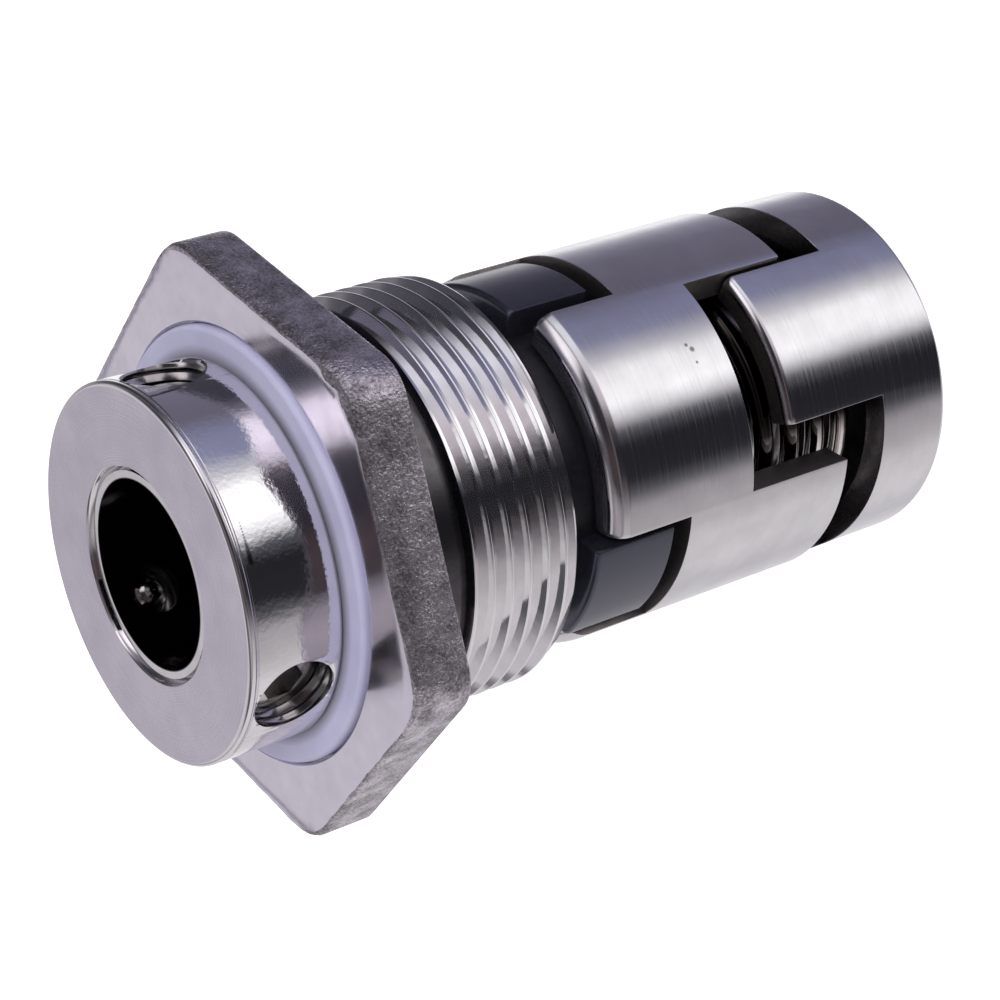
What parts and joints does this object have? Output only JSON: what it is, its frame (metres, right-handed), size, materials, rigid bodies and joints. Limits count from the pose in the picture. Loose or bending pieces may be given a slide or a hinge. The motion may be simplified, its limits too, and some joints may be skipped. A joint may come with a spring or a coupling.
{
  "type": "mechanical shaft seal",
  "caption": "Cartridge shaft seal with a hexagon threaded head, a set-screw collar on a thin sleeve and a spring-loaded seal ring in a lugged cage.",
  "frame": {"origin": "centre of the driver's flat underside, on the shaft axis", "axes": "+Z along the shaft axis from the driver to the set-screw collar, +X square to a flat of the hexagon, +Y by the right-hand rule"},
  "size_m": [0.0334, 0.0376, 0.0546],
  "materials": {
    "head_metal": "machined face and thread, cast sides",
    "white_plastic": "smooth, slightly glossy",
    "seal_carbide": "satin black",
    "soft_rubber": "matt black",
    "cage_steel": "satin with small pits",
    "spring_steel": "drawn wire",
    "sleeve_steel": "fine turned",
    "collar_chrome": "polished outside, satin end face",
    "screw_steel": "plain"
  },
  "bodies": {
    "head": {"hex_head": "head_metal", "spacer_ring": "white_plastic", "stationary_ring": "seal_carbide", "seat_o_ring": "soft_rubber"},
    "seal_ring": {"rotating_ring": "seal_carbide", "ring_carrier": "cage_steel", "thrust_washer": "cage_steel", "sleeve_o_ring": "soft_rubber"},
    "sleeve": {"shaft_sleeve": "sleeve_steel", "drive_collar": "collar_chrome", "driver": "cage_steel", "shaft_o_ring": "soft_rubber", "spring_washer": "cage_steel", "spring": "spring_steel"},
    "screw_1": {"set_screw_1": "screw_steel"},
    "screw_2": {"set_screw_2": "screw_steel"},
    "screw_3": {"set_screw_3": "screw_steel"}
  },
  "joints": [
    {"name": "ring_spin", "type": "hinge", "parent": "head", "child": "seal_ring", "pos_m": [0, 0, 0.03125], "axis": [0, 0, 1], "continuous": true},
    {"name": "sleeve_float", "type": "slide", "parent": "seal_ring", "child": "sleeve", "axis": [0, 0, 1], "range_m": [0, 0.0025], "stiffness_N_per_m": 5000, "springref_m": -0.004, "deforming": ["spring"]},
    {"name": "screw_1_travel", "type": "slide", "parent": "sleeve", "child": "screw_1", "axis": [0.7466, -0.6652, 0], "range_m": [-0.0001, 0.0012]},
    {"name": "screw_2_travel", "type": "slide", "parent": "sleeve", "child": "screw_2", "axis": [0.2028, 0.9792, 0], "range_m": [-0.0001, 0.0012]},
    {"name": "screw_3_travel", "type": "slide", "parent": "sleeve", "child": "screw_3", "axis": [-0.9494, -0.314, 0], "range_m": [-0.0001, 0.0012]}
  ]
}
